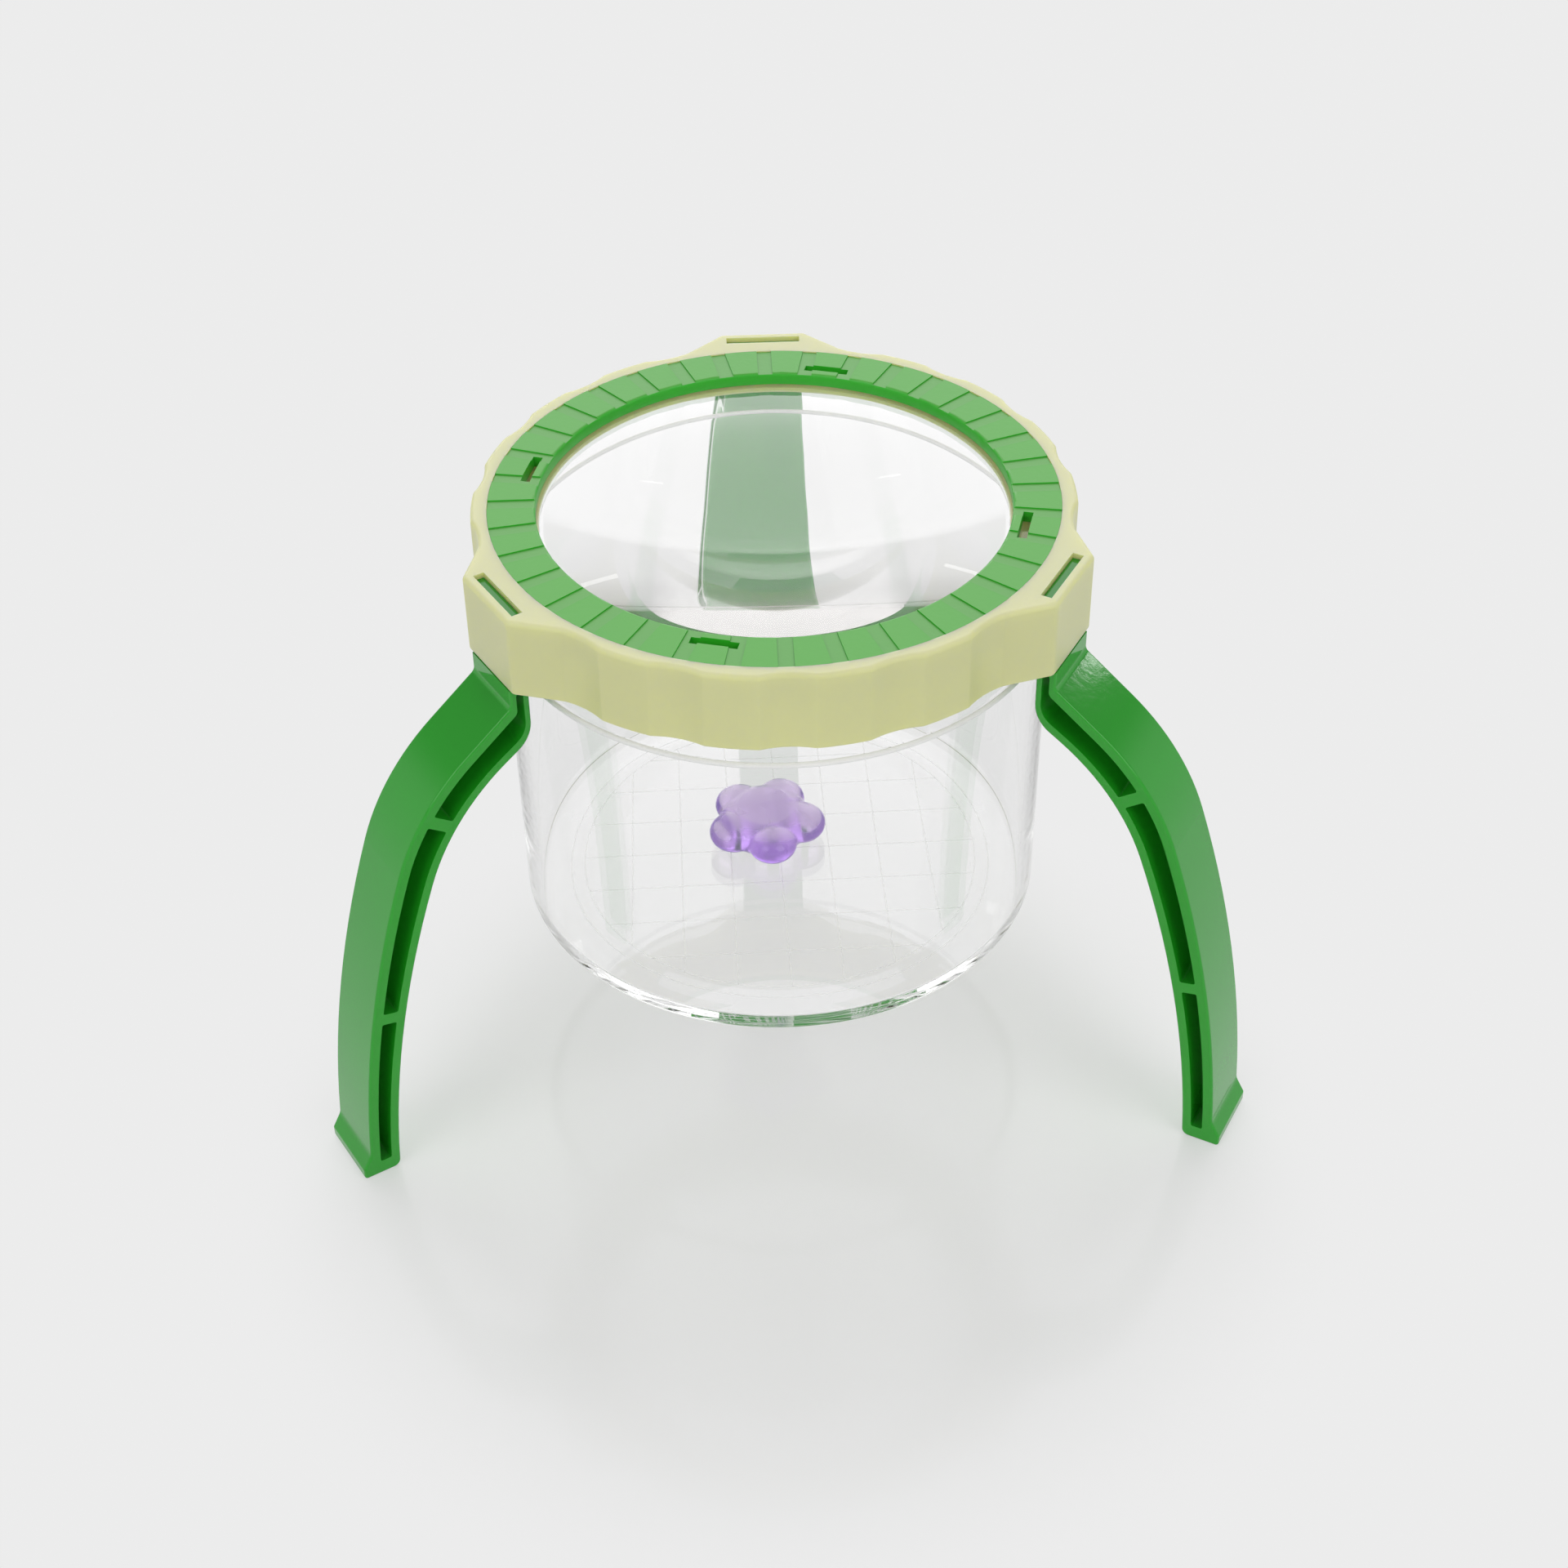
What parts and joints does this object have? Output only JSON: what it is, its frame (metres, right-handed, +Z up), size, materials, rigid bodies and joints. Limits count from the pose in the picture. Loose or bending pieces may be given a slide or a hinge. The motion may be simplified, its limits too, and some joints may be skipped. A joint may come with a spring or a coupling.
{
  "type": "bug catcher jar",
  "caption": "Clear cup hung in a scalloped lid ring with a magnifying lens and push-in curved legs, for watching insects and small finds.",
  "frame": {"origin": "centre of the jar's underside, on the jar's axis, above the table by the stance of the legs", "axes": "+Z up along the jar's axis, +Y towards the rear leg, +X to the right as pictured"},
  "size_m": [0.1798, 0.1558, 0.118],
  "materials": {
    "clear_cup": "clear polished moulding",
    "pale_lid": "satin pale yellow-green moulding",
    "clear_lens": "clear polished moulding",
    "green": "glossy green moulding",
    "purple_gem": "clear purple casting"
  },
  "bodies": {
    "lid": {"collar": "pale_lid", "lens": "clear_lens", "bezel_ring": "green"},
    "jar": {"jar": "clear_cup"},
    "leg_rear": {"leg_rear": "green"},
    "leg_left": {"leg_left": "green"},
    "leg_right": {"leg_right": "green"},
    "flower": {"flower": "purple_gem"}
  },
  "joints": [
    {"name": "jar_drop", "type": "slide", "parent": "lid", "child": "jar", "axis": [0, 0, -1], "range_m": [0, 0.03]},
    {"name": "leg_rear_pull", "type": "slide", "parent": "lid", "child": "leg_rear", "axis": [0, 0, -1], "range_m": [0, 0.016]},
    {"name": "leg_left_pull", "type": "slide", "parent": "lid", "child": "leg_left", "axis": [0, 0, -1], "range_m": [0, 0.016]},
    {"name": "leg_right_pull", "type": "slide", "parent": "lid", "child": "leg_right", "axis": [0, 0, -1], "range_m": [0, 0.016]},
    {"name": "flower_slide", "type": "slide", "parent": "jar", "child": "flower", "axis": [1, 0, 0], "range_m": [-0.025, 0.025]}
  ]
}
